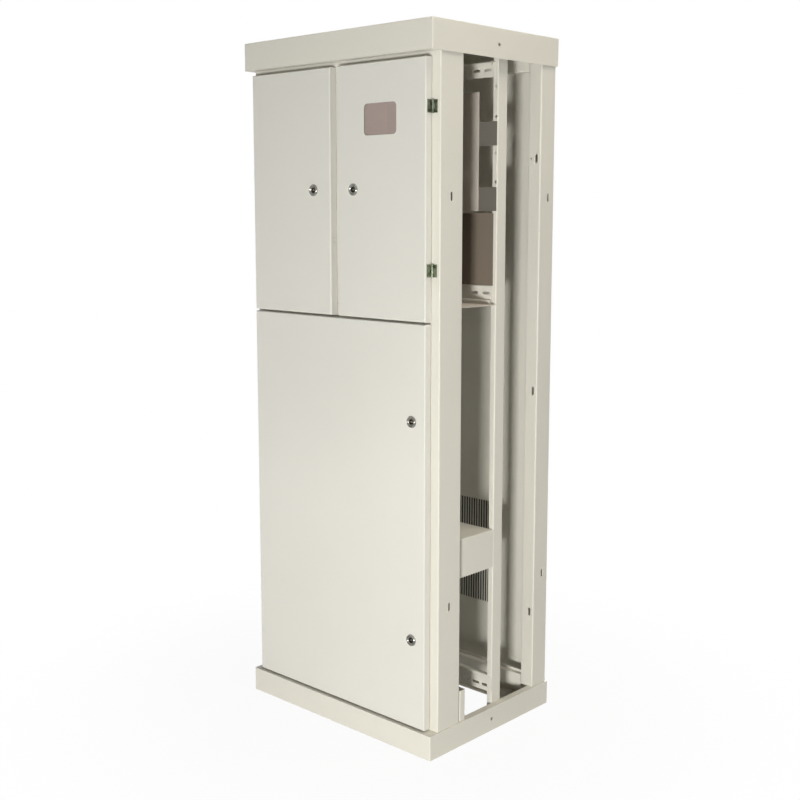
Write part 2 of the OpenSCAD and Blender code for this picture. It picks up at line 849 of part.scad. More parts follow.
// Pane behind the door's sheet, on a flat seal
module window_pane() {
    y = door_y + door_sheet + pane_seal_t;
    color(clear_pane) along_y(y, y + pane_t) window_outline(pane_lap);
}

module window_seal() {
    y = door_y + door_sheet;
    color(black_rubber) along_y(y, y + pane_seal_t) difference() {
        window_outline(pane_lap);
        window_outline(0);
    }
}

// Sealing strip round the back of a door's lips
module door_seal(x0, x1, z0, z1) {
    edge = (door_lip - seal_w) / 2;
    color(black_rubber) along_y(door_back_y, frame_y - seal_gap) difference() {
        rect(x0 + edge, z0 + edge, x1 - edge, z1 - edge);
        rect(x0 + edge + seal_w, z0 + edge + seal_w, x1 - edge - seal_w, z1 - edge - seal_w);
    }
}

module top_left_door_seal() door_seal(door_left, split_left, upper_low, upper_top);
module top_right_door_seal() door_seal(split_right, door_right, upper_low, upper_top);
module bottom_door_seal() door_seal(door_left, door_right, lower_low, lower_top);

// Hinge heights for a door between two levels
function hinge_rows(z0, z1) = [z0 + hinge_low_in, z1 - hinge_top_in];
function upper_hinges() = hinge_rows(upper_low, upper_top);
function lower_hinges() = concat(hinge_rows(lower_low, lower_top), [(lower_low + lower_top) / 2]);

// A hinge has two frame knuckles with the door's knuckle between them
knuckle_low = hinge_h * 0.3;
knuckle_high = hinge_h * 0.7;

// Puts a right-hand hinge on its axis, at height z, with side -1 for the left of the cabinet
module at_hinge(z, side) {
    translate([side < 0 ? hinge_left : hinge_right, hinge_y, z - hinge_h / 2])
        mirror([side < 0 ? 1 : 0, 0, 0]) children();
}

module frame_leaf() {
    inner = knuckle_r + pass_fit;
    back = hinge_stand;
    difference() {
        union() {
            box(inner, back - leaf_t, 0, leaf_w, back, hinge_h);
            for (span = [[0, knuckle_low], [knuckle_high, hinge_h]]) {
                along_z(span[0], span[1]) circle(knuckle_r);
                box(0, back - leaf_t, span[0], inner, knuckle_r, span[1]);
                box(inner - over, back - leaf_t, span[0], inner + over, back, span[1]);
            }
        }
        translate([0, 0, -over]) cylinder(r = hinge_pin_r + still_fit, h = hinge_h + 2 * over);
    }
}

module door_leaf() {
    edge = -hinge_stand;
    inner = -knuckle_r - pass_fit;
    low = knuckle_low + pass_fit;
    high = knuckle_high - pass_fit;
    difference() {
        union() {
            box(edge, -leaf_w - hinge_stand, 0, edge + leaf_t, inner, hinge_h);
            box(edge, inner - over, low, edge + leaf_t, 0, high);
            along_z(low, high) circle(knuckle_r);
        }
        translate([0, 0, -over]) cylinder(r = hinge_pin_r + run_fit, h = hinge_h + 2 * over);
    }
}

module hinge_frame_leaves() color(zinc) {
    for (z = upper_hinges()) at_hinge(z, 1) frame_leaf();
    for (z = concat(upper_hinges(), lower_hinges())) at_hinge(z, -1) frame_leaf();
}

module hinge_pins() color(chrome) {
    for (z = upper_hinges()) at_hinge(z, 1) cylinder(r = hinge_pin_r, h = hinge_h);
    for (z = concat(upper_hinges(), lower_hinges())) at_hinge(z, -1) cylinder(r = hinge_pin_r, h = hinge_h);
}

module top_left_hinge_leaves() color(zinc) for (z = upper_hinges()) at_hinge(z, -1) door_leaf();
module top_right_hinge_leaves() color(zinc) for (z = upper_hinges()) at_hinge(z, 1) door_leaf();
module bottom_hinge_leaves() color(zinc) for (z = lower_hinges()) at_hinge(z, -1) door_leaf();

// Puts a lock's parts on the door's face, their own z pointing out of the door
module at_lock(x, z) {
    translate([x, door_y, z]) rotate([90, 0, 0]) children();
}

// Housing: a dished ring in front of the door and a threaded barrel behind it
module lock_housing() {
    ring = lock_d / 2;
    body = lock_body_d / 2;
    bore = plug_r + run_fit;
    slope = ring_out / 2;
    seat = ring_out - dish_deep;
    rotate_extrude() polygon([
        [bore, -lock_body_l], [body, -lock_body_l], [body, 0], [ring, 0], [ring, slope],
        [ring - slope, ring_out], [ring - 2 * slope, ring_out], [bore + 0.4, seat], [bore, seat]
    ]);
}

module lock_nut() {
    body = lock_body_d / 2;
    across_corners = 1.42 * lock_body_d;
    translate([0, 0, -door_sheet - nut_t]) difference() {
        cylinder(d = across_corners, h = nut_t, $fn = 6);
        translate([0, 0, -over]) cylinder(r = body + still_fit, h = nut_t + 2 * over);
    }
}

// Plug: a round barrel with a two-winged key pin in front and a square shank for the cam behind
module lock_plug() {
    collar_top = -lock_body_l - knuckle_gap;
    plug_top = ring_out - dish_deep - pass_fit;
    well = plug_top - well_deep;
    collar_r = plug_r + 1.5;
    wall = 1.6;
    wing_t = 2;
    tap_l = 2 * cam_screw_d;
    difference() {
        union() {
            translate([0, 0, collar_top - over]) cylinder(r = plug_r, h = plug_top - collar_top + over);
            translate([0, 0, -cam_depth]) cylinder(r = collar_r, h = cam_depth + collar_top);
            translate([-shank_w / 2, -shank_w / 2, -cam_depth - cam_t])
                cube([shank_w, shank_w, cam_t + over]);
        }
        difference() {
            translate([0, 0, well]) cylinder(r = plug_r - wall, h = well_deep + over);
            translate([0, 0, well - over]) cylinder(r = key_pin_r, h = well_deep);
            translate([-key_wing_w / 2, -wing_t / 2, well - over]) cube([key_wing_w, wing_t, well_deep]);
        }
        translate([0, 0, -cam_depth - cam_t - over])
            cylinder(d = cam_screw_d + 2 * still_fit, h = tap_l + over);
    }
}

// Cam: a flat tongue that hangs straight down when the lock is open
module lock_cam() {
    end = cam_reach - cam_w / 2;
    hole = shank_w + 2 * still_fit;
    translate([0, 0, -cam_depth - cam_t]) linear_extrude(cam_t) difference() {
        union() {
            translate([-cam_w / 2, -end]) square([cam_w, end]);
            circle(cam_w / 2);
            translate([0, -end]) circle(cam_w / 2);
        }
        square(hole, center = true);
    }
}

module cam_screw() {
    translate([0, 0, -cam_depth - cam_t]) mirror([0, 0, 1]) pan_screw(cam_screw_d, 2 * cam_screw_d - over);
}

module top_left_lock_housing() color(chrome) at_lock(lock_left_x, lock_upper_z) lock_housing();
module top_left_lock_nut() color(zinc) at_lock(lock_left_x, lock_upper_z) lock_nut();
module top_left_lock_plug() color(dark_metal) at_lock(lock_left_x, lock_upper_z) lock_plug();
module top_left_lock_cam() color(zinc) at_lock(lock_left_x, lock_upper_z) lock_cam();
module top_left_cam_screw() color(zinc) at_lock(lock_left_x, lock_upper_z) cam_screw();

module top_right_lock_housing() color(chrome) at_lock(lock_right_x, lock_upper_z) lock_housing();
module top_right_lock_nut() color(zinc) at_lock(lock_right_x, lock_upper_z) lock_nut();
module top_right_lock_plug() color(dark_metal) at_lock(lock_right_x, lock_upper_z) lock_plug();
module top_right_lock_cam() color(zinc) at_lock(lock_right_x, lock_upper_z) lock_cam();
module top_right_cam_screw() color(zinc) at_lock(lock_right_x, lock_upper_z) cam_screw();

module bottom_lock_housings() color(chrome)
    for (z = [lock_low_bottom_z, lock_low_top_z]) at_lock(lock_low_x, z) lock_housing();
module bottom_lock_nuts() color(zinc)
    for (z = [lock_low_bottom_z, lock_low_top_z]) at_lock(lock_low_x, z) lock_nut();
module bottom_upper_lock_plug() color(dark_metal) at_lock(lock_low_x, lock_low_top_z) lock_plug();
module bottom_upper_lock_cam() color(zinc) at_lock(lock_low_x, lock_low_top_z) lock_cam();
module bottom_upper_cam_screw() color(zinc) at_lock(lock_low_x, lock_low_top_z) cam_screw();
module bottom_lower_lock_plug() color(dark_metal) at_lock(lock_low_x, lock_low_bottom_z) lock_plug();
module bottom_lower_lock_cam() color(zinc) at_lock(lock_low_x, lock_low_bottom_z) lock_cam();
module bottom_lower_cam_screw() color(zinc) at_lock(lock_low_x, lock_low_bottom_z) cam_screw();

roof_cap();
plinth();
left_front_post();
right_front_post();
left_rear_post();
right_rear_post();
left_upright();
right_upright();
front_lintel();
front_mid_rail();
front_sill();
mullion();
rear_bottom_rail();
rear_top_rail();
rear_panel();
vent_screen();
rear_panel_screws();
post_foot_brackets();
compartment_shelf();
compartment_divider();
upper_mounting_plate();
plate_straps();
lower_mounting_plate();
equipment_tray();
top_crossbar();
mid_crossbar();
bottom_crossbar();
hinge_frame_leaves();
hinge_pins();
top_left_door();
top_left_door_seal();
top_left_hinge_leaves();
top_left_lock_housing();
top_left_lock_nut();
top_right_door();
top_right_door_seal();
top_right_hinge_leaves();
top_right_lock_housing();
top_right_lock_nut();
window_pane();
window_seal();
bottom_door();
bottom_door_seal();
bottom_hinge_leaves();
bottom_lock_housings();
bottom_lock_nuts();
top_left_lock_plug();
top_left_lock_cam();
top_left_cam_screw();
top_right_lock_plug();
top_right_lock_cam();
top_right_cam_screw();
bottom_upper_lock_plug();
bottom_upper_lock_cam();
bottom_upper_cam_screw();
bottom_lower_lock_plug();
bottom_lower_lock_cam();
bottom_lower_cam_screw();
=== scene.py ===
# %% [markdown]
# # A distribution board enclosure in the studio
# The cabinet arrives as solids from the CAD model: folded posts, doors, plates, hinges and locks, each
# in its true place and size. Everything below dresses them. Paint and metal come first, then the small
# hardware that a fitter adds last, then the studio.

# %% Load the cabinet
import math

import bmesh
import bpy
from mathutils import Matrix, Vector


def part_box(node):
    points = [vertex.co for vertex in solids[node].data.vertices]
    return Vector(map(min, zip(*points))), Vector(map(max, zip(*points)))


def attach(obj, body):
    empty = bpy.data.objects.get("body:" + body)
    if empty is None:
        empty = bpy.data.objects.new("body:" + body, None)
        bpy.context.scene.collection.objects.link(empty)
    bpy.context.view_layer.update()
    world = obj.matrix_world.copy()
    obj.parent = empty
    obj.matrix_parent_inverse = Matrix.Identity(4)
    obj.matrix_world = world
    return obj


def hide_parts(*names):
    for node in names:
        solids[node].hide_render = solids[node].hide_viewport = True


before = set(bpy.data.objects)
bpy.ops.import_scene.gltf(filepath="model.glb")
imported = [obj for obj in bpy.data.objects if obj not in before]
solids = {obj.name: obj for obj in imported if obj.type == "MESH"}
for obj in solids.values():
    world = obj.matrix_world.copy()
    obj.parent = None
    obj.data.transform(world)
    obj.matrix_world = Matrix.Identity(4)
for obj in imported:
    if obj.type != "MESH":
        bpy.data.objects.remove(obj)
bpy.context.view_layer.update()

# %% [markdown]
# ## The camera
# The cabinet was photographed from its right front corner, from about chest height, with a normal lens.
# A camera is placed by its eye point, its heading seen from above and its dip below the horizon. A small
# lens shift keeps the tall sides closer to parallel than tilting alone would.

# %% Place the camera
EYE = Vector((2.0589, -2.2097, 1.2837))
HEADING = math.radians(133.05)
DIP = math.radians(7.94)
LENS = 53.28
SHIFT_ACROSS = 0.0029
SHIFT_UP = -0.030
sight = Vector((math.cos(HEADING) * math.cos(DIP), math.sin(HEADING) * math.cos(DIP), -math.sin(DIP)))
bpy.ops.object.camera_add(location=EYE, rotation=sight.to_track_quat("-Z", "Y").to_euler())
camera = bpy.context.object
camera.name = "catalogue_camera"
camera.data.lens = LENS
camera.data.shift_x = SHIFT_ACROSS
camera.data.shift_y = SHIFT_UP
bpy.context.scene.camera = camera
bpy.context.scene.view_settings.view_transform = "Standard"

# %% [markdown]
# ## Helpers for finishes
# A finish is one shader whose colour, roughness and bump follow patterns. The patterns read object
# coordinates, in metres, so a scale of 300 means about 300 grains to the metre whatever the size of the
# piece. A number that is the same all over a surface is set on the shader itself.

# %% Finish helpers
NOISE_LOW = 0.3
NOISE_SPAN = 0.4


def start_finish(name):
    """A new material, with its node tree, its shader and the coordinates that its patterns read."""
    finish = bpy.data.materials.new(name)
    finish.use_nodes = True
    tree = finish.node_tree
    place = tree.nodes.new("ShaderNodeTexCoord").outputs["Object"]
    return finish, tree, tree.nodes["Principled BSDF"], place


def grain(tree, place, scale, detail=2.0, stretch=None):
    """Noise at so many grains to the metre, drawn out along an axis where stretch is given."""
    if stretch:
        mapping = tree.nodes.new("ShaderNodeMapping")
        mapping.inputs["Scale"].default_value = stretch
        tree.links.new(place, mapping.inputs["Vector"])
        place = mapping.outputs["Vector"]
    noise = tree.nodes.new("ShaderNodeTexNoise")
    noise.inputs["Scale"].default_value = scale
    noise.inputs["Detail"].default_value = detail
    tree.links.new(place, noise.inputs["Vector"])
    return noise.outputs[0]


def between(tree, value, low, high):
    """Spreads a noise over the span from low to high."""
    spread = tree.nodes.new("ShaderNodeMapRange")
    spread.inputs["From Min"].default_value = NOISE_LOW
    spread.inputs["From Max"].default_value = NOISE_LOW + NOISE_SPAN
    spread.inputs["To Min"].default_value = low
    spread.inputs["To Max"].default_value = high
    tree.links.new(value, spread.inputs["Value"])
    return spread.outputs["Result"]


def tones(tree, value, colours):
    """Lays two or more colours evenly along a noise."""
    ramp = tree.nodes.new("ShaderNodeValToRGB")
    stops = ramp.color_ramp.elements
    while len(stops) < len(colours):
        stops.new(0.5)
    for i, colour in enumerate(colours):
        stops[i].position = NOISE_LOW + NOISE_SPAN * i / (len(colours) - 1)
        stops[i].color = (*colour, 1.0)
    tree.links.new(value, ramp.inputs["Fac"])
    return ramp.outputs["Color"]


def relief(tree, shader, height, depth, under=None):
    """Raises the surface by up to depth metres, on top of an earlier relief where one is given."""
    bump = tree.nodes.new("ShaderNodeBump")
    bump.inputs["Strength"].default_value = 1.0
    bump.inputs["Distance"].default_value = depth
    tree.links.new(height, bump.inputs["Height"])
    if under:
        tree.links.new(under, bump.inputs["Normal"])
    tree.links.new(bump.outputs["Normal"], shader.inputs["Normal"])
    return bump.outputs["Normal"]


def shade(colour, factor):
    """A lighter or darker tone of a colour."""
    return tuple(min(1.0, c * factor) for c in colour)


print("finish helpers ready")

# %% [markdown]
# ## Powder coat
# The whole cabinet is sprayed with dry powder that melts in an oven. The coat is cream, half matt, and
# never quite flat: it has an orange peel of soft bumps a few millimetres wide and a finer grain inside
# them. Its tone drifts a little from panel to panel. Five coats are mixed here: for the frame, the
# doors, the sheets inside, the lower mounting plate and the straps that carry the upper one. The last
# three are the same cream with painted shade in it: a little darker and browner for the sheets inside,
# dark brown for the lower plate and dark grey for the straps.

# %% Mix the powder coats
TONE_GRAINS = 1.6
SHEEN_GRAINS = 45.0
PEEL_GRAINS = 260.0
PEEL_DEPTH = 0.00018
FINE_GRAINS = 1300.0
FINE_DEPTH = 0.00004


def powder_coat(name, colour, rough):
    """Paint of one colour, about as rough as asked, with orange peel and a finer grain in it."""
    finish, tree, shader, place = start_finish(name)
    drift = grain(tree, place, TONE_GRAINS, 3.0)
    tone = tones(tree, drift, [shade(colour, 0.97), colour, shade(colour, 1.02)])
    tree.links.new(tone, shader.inputs["Base Color"])
    sheen = between(tree, grain(tree, place, SHEEN_GRAINS, 4.0), rough - 0.04, rough + 0.05)
    tree.links.new(sheen, shader.inputs["Roughness"])
    peel = relief(tree, shader, grain(tree, place, PEEL_GRAINS, 1.0), PEEL_DEPTH)
    relief(tree, shader, grain(tree, place, FINE_GRAINS, 1.0), FINE_DEPTH, under=peel)
    shader.inputs["IOR"].default_value = 1.5
    return finish


frame_coat = powder_coat("frame_powder_coat", (0.735, 0.714, 0.645), rough=0.44)
door_coat = powder_coat("door_powder_coat", (0.730, 0.718, 0.668), rough=0.42)
# The inner coat is the frame's cream painted darker and browner: painted shade for the inside of the
# cabinet.
inner_coat_painted_shade = powder_coat("inner_powder_coat_painted_shade", (0.60, 0.545, 0.485), rough=0.46)
# The lower plate's coat is painted shade: the cream made dark brown, for the shade that falls on the
# plate.
lower_plate_painted_shade = powder_coat("lower_plate_finish_painted_shade", (0.20, 0.165, 0.13), rough=0.40)
# The straps' coat is painted shade: the cream made dark grey, for the shade that falls on the straps.
strap_coat_painted_shade = powder_coat("strap_powder_coat_painted_shade", (0.17, 0.155, 0.135), rough=0.42)
print("coats:", frame_coat.name, door_coat.name, inner_coat_painted_shade.name, lower_plate_painted_shade.name, strap_coat_painted_shade.name)

# %% [markdown]
# ## Metals
# Hinges, nuts, cams and screws are zinc plated and passivated, which leaves a dark metal with olive and
# straw tints in clouds. The hinge pins are ground steel. The lock's ring is chrome whose colour is
# painted dark, a painted dark reflection of a dimmer studio than the white one here. Its turning plug
# is dark nickel, so that the key pin stands out in its well.

# %% Mix the metals
MARK_GRAINS = 900.0
MARK_DEPTH = 0.00002


def plated(name, colours, cloud, rough, stretch=None):
    """A metal whose tint goes through the colours in clouds, with fine marks that follow stretch."""
    finish, tree, shader, place = start_finish(name)
    shader.inputs["Metallic"].default_value = 1.0
    tree.links.new(tones(tree, grain(tree, place, cloud, 3.0), colours), shader.inputs["Base Color"])
    marks = grain(tree, place, MARK_GRAINS, 3.0, stretch)
    tree.links.new(between(tree, marks, rough[0], rough[1]), shader.inputs["Roughness"])
    relief(tree, shader, marks, MARK_DEPTH)
    return finish


zinc = plated("passivated_zinc", [(0.05, 0.06, 0.032), (0.19, 0.215, 0.16), (0.28, 0.29, 0.22)],
              cloud=130.0, rough=(0.24, 0.40))
ground_steel = plated("ground_steel", [(0.16, 0.165, 0.14), (0.24, 0.24, 0.21)],
                      cloud=60.0, rough=(0.20, 0.34), stretch=(1.0, 1.0, 14.0))
# The ring's colour is painted dark: a painted reflection of dark surroundings, which the white studio here
# would not give.
chrome = plated("chrome_painted_dark_reflection", [(0.20, 0.20, 0.18), (0.32, 0.315, 0.28)],
                cloud=90.0, rough=(0.14, 0.24))
dark_nickel = plated("dark_nickel", [(0.10, 0.095, 0.08), (0.20, 0.19, 0.16)],
                     cloud=220.0, rough=(0.18, 0.30))
print("metals:", zinc.name, ground_steel.name, chrome.name, dark_nickel.name)

# %% [markdown]
# ## Rubber, pane and wire cloth
# The sealing strips are closed-cell foam, dull and black, with cells about a millimetre wide. The window
# is a plastic sheet. It is nearly smooth and lets most of the light through, with a warm haze that
# catches the rest. The insect screen behind the vents is wire cloth painted nearly black: painted shade
# for the dark that shows through the vent slots.

# %% Mix the foam, the pane and the wire cloth
FOAM_GRAINS = 180.0
FOAM_CELLS = 950.0
CELL_DEPTH = 0.00025
HAZE_GRAINS = 30.0
WIRE_RIBS = 160.0
WIRE_DEPTH = 0.0006


def foam_rubber():
    """Dull black foam, pitted with cells."""
    finish, tree, shader, place = start_finish("foam_rubber")
    blacks = [(0.016, 0.016, 0.018), (0.032, 0.032, 0.034)]
    tone = tones(tree, grain(tree, place, FOAM_GRAINS), blacks)
    tree.links.new(tone, shader.inputs["Base Color"])
    cells = tree.nodes.new("ShaderNodeTexVoronoi")
    cells.inputs["Scale"].default_value = FOAM_CELLS
    tree.links.new(place, cells.inputs["Vector"])
    relief(tree, shader, cells.outputs["Distance"], CELL_DEPTH)
    shader.inputs["Roughness"].default_value = 0.85
    shader.inputs["Specular IOR Level"].default_value = 0.3
    return finish


def window_sheet():
    """Clear plastic with a warm tint."""
    finish, tree, shader, place = start_finish("window_sheet")
    shader.inputs["Base Color"].default_value = (0.80, 0.67, 0.62, 1.0)
    shader.inputs["Transmission Weight"].default_value = 0.74
    shader.inputs["IOR"].default_value = 1.49
    haze = between(tree, grain(tree, place, HAZE_GRAINS, 5.0), 0.01, 0.06)
    tree.links.new(haze, shader.inputs["Roughness"])
    return finish


def woven_wire_painted_shade():
    """Wire cloth painted nearly black as painted shade for the vent slots, with two sets of fine ribs that
    cross.
    """
    finish, tree, shader, place = start_finish("woven_wire_painted_shade")
    shader.inputs["Metallic"].default_value = 0.6
    shader.inputs["Roughness"].default_value = 0.6
    normal = None
    for axis in ("X", "Z"):
        wires = tree.nodes.new("ShaderNodeTexWave")
        wires.bands_direction = axis
        wires.inputs["Scale"].default_value = WIRE_RIBS
        tree.links.new(place, wires.inputs["Vector"])
        normal = relief(tree, shader, wires.outputs["Fac"], WIRE_DEPTH, under=normal)
    # Near-black colours: painted shade for the dark seen through the vent slots.
    tree.links.new(tones(tree, wires.outputs["Fac"], [(0.016, 0.015, 0.014), (0.10, 0.095, 0.088)]),
                   shader.inputs["Base Color"])
    return finish


foam = foam_rubber()
pane = window_sheet()
screen_cloth_painted_shade = woven_wire_painted_shade()
print("finishes:", foam.name, pane.name, screen_cloth_painted_shade.name)

# %% [markdown]
# ## Dressing the solids
# Every solid keeps its shape and takes one finish. The list goes by the words in their names, first
# match first, so that a lock nut is zinc although it sits on a painted door.

# %% Give every solid its finish
FINISH_BY_WORD = [
    ("window_pane", pane), ("vent_screen", screen_cloth_painted_shade), ("seal", foam), ("lock_plug", dark_nickel),
    ("lock_housing", chrome), ("hinge_pins", ground_steel), ("hinge_leaves", zinc), ("frame_leaves", zinc),
    ("lock_nut", zinc), ("lock_cam", zinc), ("screw", zinc), ("lower_mounting_plate", lower_plate_painted_shade),
    ("mounting_plate", inner_coat_painted_shade), ("straps", strap_coat_painted_shade), ("shelf", inner_coat_painted_shade), ("divider", inner_coat_painted_shade),
    ("_door", door_coat), ("", frame_coat),
]


def dress(piece, finish):
    """Gives a piece one finish all over."""
    piece.data.materials.clear()
    piece.data.materials.append(finish)


for name, solid in solids.items():
    dress(solid, next(finish for word, finish in FINISH_BY_WORD if word in name))
shown = ("plinth", "top_left_door", "top_left_lock_nut")
print({name: solids[name].data.materials[0].name for name in shown})

# %% [markdown]
# ## Helpers for modelling
# New pieces are modelled as by hand. A primitive is added, faces or edges are selected by where they
# are, and edit mode operators shape them. An operator acts on everything selected, so the bench is
# cleared first.

# %% Modelling helpers
SMOOTH_ANGLE = math.radians(40)


def clear_bench():
    """Leaves edit mode and deselects everything."""
    if bpy.context.mode != "OBJECT":
        bpy.ops.object.mode_set(mode="OBJECT")
    bpy.ops.object.select_all(action="DESELECT")


def pick(piece):
    """Makes one piece the selected and active one."""
    clear_bench()
    piece.select_set(True)
    bpy.context.view_layer.objects.active = piece


def open_up(piece):
    """Goes into edit mode on one piece with nothing selected."""
    pick(piece)
    bpy.ops.object.mode_set(mode="EDIT")
    bpy.ops.mesh.select_mode(type="FACE")
    bpy.ops.mesh.select_all(action="DESELECT")


def choose_faces(piece, test):
    """Selects the faces whose middle and normal pass the test."""
    bpy.ops.mesh.select_mode(type="FACE")
    mesh = bmesh.from_edit_mesh(piece.data)
    for face in mesh.faces:
        face.select_set(bool(test(face.calc_center_median(), face.normal)))
    bmesh.update_edit_mesh(piece.data)


def choose_edges(piece, test):
    """Selects the edges whose two ends both pass the test."""
    bpy.ops.mesh.select_mode(type="EDGE")
    mesh = bmesh.from_edit_mesh(piece.data)
    for face in mesh.faces:
        face.select_set(False)
    for edge in mesh.edges:
        edge.select_set(all(test(v.co) for v in edge.verts))
    bmesh.update_edit_mesh(piece.data)


def settle(piece, name):
    """Back to object mode, with the piece's place in its mesh and its curves shaded smooth."""
    pick(piece)
    bpy.ops.object.transform_apply(location=True, rotation=True, scale=True)
    bpy.ops.object.shade_smooth_by_angle(angle=SMOOTH_ANGLE)
    piece.name = name
    piece.data.name = name


def copies(master, name, places):
    """A copy of the master, with a mesh of its own, at each point and turn, all joined into one piece."""
    made = []
    for point, turn in places:
        pick(master)
        bpy.ops.object.duplicate(linked=False)
        copy = bpy.context.object
        copy.location = point
        copy.rotation_euler = turn
        made.append(copy)
    pick(made[0])
    for copy in made:
        copy.select_set(True)
    bpy.ops.object.join()
    settle(made[0], name)
    return made[0]


def fit(piece, finish, body):
    """Gives a new piece its finish and sets it on the part that carries it."""
    dress(piece, finish)
    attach(piece, body)
    print(piece.name, len(piece.data.polygons), "faces on", body)


MM = 0.001
FACE_FRONT = (math.radians(90), 0.0, 0.0)
FACE_BACK = (math.radians(-90), 0.0, 0.0)
FACE_RIGHT = (0.0, math.radians(90), 0.0)
FACE_LEFT = (0.0, math.radians(-90), 0.0)
FACE_UP = (0.0, 0.0, 0.0)
FACE_DOWN = (math.radians(180), 0.0, 0.0)
print("modelling helpers ready")

# %% [markdown]
# ## Door seals
# A foam strip is glued to the lip round the back of each door and is pressed against the frame when the
# door shuts. It could stay the plain flat band of the CAD model, but real foam has a crown. A plane as
# large as the band's outline is inset to a mitred ring, the middle is deleted, the ring is drawn out to
# its thickness and its edges are rounded.

# %% Model the door seals
SEAL_WIDTH = 10 * MM


def foam_strip(node, body):
    """A mitred foam ring with a crown, in the box of the plain seal that it replaces."""
    low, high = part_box(node)
    width = high.x - low.x
    height = high.z - low.z
    thick = high.y - low.y
    middle = ((low.x + high.x) / 2, low.y, (low.z + high.z) / 2)
    clear_bench()
    bpy.ops.mesh.primitive_plane_add(size=1.0, location=middle, rotation=FACE_BACK)
    strip = bpy.context.object
    strip.scale = (width, height, 1.0)
    bpy.ops.object.transform_apply(location=True, rotation=True, scale=True)
    open_up(strip)
    bpy.ops.mesh.select_all(action="SELECT")
    bpy.ops.mesh.inset(thickness=SEAL_WIDTH, depth=0.0)
    bpy.ops.mesh.delete(type="FACE")
    bpy.ops.mesh.select_all(action="SELECT")
    bpy.ops.mesh.extrude_region_move(TRANSFORM_OT_translate={"value": (0.0, thick, 0.0)})
    bpy.ops.mesh.select_all(action="SELECT")
    bpy.ops.mesh.normals_make_consistent(inside=False)
    choose_edges(strip, lambda p: p.y > high.y - 0.1 * thick)
    bpy.ops.mesh.bevel(offset=0.9 * thick, segments=4, affect="EDGES")
    settle(strip, node + "_strip")
    fit(strip, foam, body)
    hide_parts(node)


for door in ("top_left_door", "top_right_door", "bottom_door"):
    foam_strip(door + "_seal", door)

# %% [markdown]
# ## Rivets and pin caps on the hinges
# Each hinge leaf is held by two blind rivets, and each pin ends in a small domed cap. A rivet's head is
# a low button with the hole that its broken-off stem leaves. One rivet is modelled from a short
# cylinder: the top is inset twice and sunk for the hole, and the rim is rounded.

# %% Model one rivet and one pin cap
HEAD_SIDES = 20


def button(radius, height, hole):
    """A round head on the plane z = 0, with a hole in its top where one is asked for."""
    rounding = 0.7 * height
    clear_bench()
    bpy.ops.mesh.primitive_cylinder_add(vertices=HEAD_SIDES, radius=radius, depth=height,
                                        location=(0, 0, height / 2))
    head = bpy.context.object
    bpy.ops.object.transform_apply(location=True, rotation=True, scale=True)
    open_up(head)
    choose_edges(head, lambda p: p.z > 0.99 * height)
    bpy.ops.mesh.bevel(offset=rounding, segments=4, affect="EDGES")
    if hole:
        choose_faces(head, lambda c, n: n.z > 0.99)
        rim = radius - rounding
        bpy.ops.mesh.inset(thickness=rim - hole, depth=0.0)
        bpy.ops.mesh.inset(thickness=0.05 * hole, depth=-0.6 * height)
    bpy.ops.object.mode_set(mode="OBJECT")
    return head


rivet = button(radius=2.0 * MM, height=0.8 * MM, hole=0.8 * MM)
pin_cap = button(radius=2.3 * MM, height=1.1 * MM, hole=0.0)
print("rivet", len(rivet.data.polygons), "faces, cap", len(pin_cap.data.polygons), "faces")

# %% [markdown]
# ## Setting the rivets and caps
# Copies go to every hinge, two rivets to a leaf and a cap to each end of a pin. The heads on the door
# stand at other heights than those on the frame, so that they pass each other when the door swings right
# back.

# %% Set the rivets and caps on the hinges
HINGE_AXIS_Y = -204.9 * MM
HINGE_HALF = 14.5 * MM
UPPER_HINGES = [1150.0 * MM, 1513.0 * MM]
LOWER_HINGES = [179.5 * MM, 545.75 * MM, 921.5 * MM]
LEFT_AXIS = -300.5 * MM
RIGHT_AXIS = 292.5 * MM
FRAME_RIVET_OUT = 7.4 * MM
FRAME_RIVET_UP = 10.0 * MM
DOOR_RIVET_BACK = 9.6 * MM
DOOR_RIVET_UP = 4.4 * MM
DOOR_LEAF_IN = 2.0 * MM
LEAF_THICK = 1.5 * MM
frame_leaf_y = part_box("front_sill")[0].y - LEAF_THICK

hinges = [(LEFT_AXIS, -1, z) for z in UPPER_HINGES + LOWER_HINGES]
hinges += [(RIGHT_AXIS, 1, z) for z in UPPER_HINGES]
frame_places = [((x + side * FRAME_RIVET_OUT, frame_leaf_y, z + up), FACE_FRONT)
                for x, side, z in hinges for up in (-FRAME_RIVET_UP, FRAME_RIVET_UP)]
cap_places = [((x, HINGE_AXIS_Y, z + end * HINGE_HALF), FACE_UP if end > 0 else FACE_DOWN)
              for x, side, z in hinges for end in (-1, 1)]
fit(copies(rivet, "hinge_frame_rivets", frame_places), zinc, "cabinet")
fit(copies(pin_cap, "hinge_pin_caps", cap_places), ground_steel, "cabinet")

DOOR_HINGES = (
    ("top_left", -1, LEFT_AXIS, UPPER_HINGES),
    ("bottom", -1, LEFT_AXIS, LOWER_HINGES),
    ("top_right", 1, RIGHT_AXIS, UPPER_HINGES),
)
for door, side, axis, rows in DOOR_HINGES:
    door_places = [((axis - side * DOOR_LEAF_IN, HINGE_AXIS_Y - DOOR_RIVET_BACK, z + up),
                    FACE_RIGHT if side > 0 else FACE_LEFT)
                   for z in rows for up in (-DOOR_RIVET_UP, DOOR_RIVET_UP)]
    fit(copies(rivet, door + "_hinge_rivets", door_places), zinc, door + "_door")

for master in (rivet, pin_cap):
    bpy.data.objects.remove(master)

# %% [markdown]
# ## Lock rings
# A lock's housing is turned on a lathe, so it is modelled like turning: its half section is drawn point
# by point, out from a single corner, and spun round the axis. In front of the door it has a rounded
# bead, a groove and a second, smaller bead round the dish. Behind the door it is a plain barrel. The
# plug of the CAD model turns inside it.

